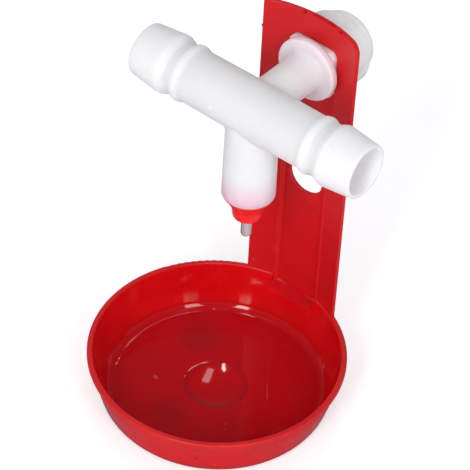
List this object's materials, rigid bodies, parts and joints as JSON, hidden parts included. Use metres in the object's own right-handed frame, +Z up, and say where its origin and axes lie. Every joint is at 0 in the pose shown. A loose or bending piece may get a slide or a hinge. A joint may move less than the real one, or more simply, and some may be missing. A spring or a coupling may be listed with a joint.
{
  "type": "poultry drinking cup with nipple valve",
  "caption": "Shallow round drinking cup hung from a curved back plate, under a barbed tee whose nipple valve drips into the cup when its steel pin is pushed.",
  "frame": {"origin": "centre of the cup's underside, on the cup's axis, at the level it stands on", "axes": "+Z up along the cup's axis and the back plate, +Y from the cup's centre to the back plate and the cap nut, +X along the tee's run"},
  "size_m": [0.0726, 0.0862, 0.1116],
  "materials": {
    "red_plastic": "glossy moulded",
    "white_plastic": "natural, slightly translucent, satin",
    "milky_plastic": "natural, translucent, smooth",
    "seal_rubber": "matt",
    "steel": "turned"
  },
  "bodies": {
    "root": {"cup_with_backplate": "red_plastic", "tee_body": "white_plastic", "cap_nut": "milky_plastic", "cap_seal": "seal_rubber", "nipple_body": "red_plastic", "nipple_o_ring": "seal_rubber", "lower_seat_ring": "seal_rubber", "seat_insert": "steel", "seat_retainer": "white_plastic"},
    "valve": {"valve_pin": "steel"},
    "trigger": {"trigger_pin": "steel"}
  },
  "joints": [
    {"name": "valve_lift", "type": "slide", "parent": "root", "child": "valve", "axis": [0, 0, 1], "range_m": [0, 0.0009]},
    {"name": "trigger_rock", "type": "hinge", "parent": "valve", "child": "trigger", "pos_m": [0, 0.0099, 0.06445], "axis": [1, 0, 0], "range_deg": [-5, 5]}
  ]
}
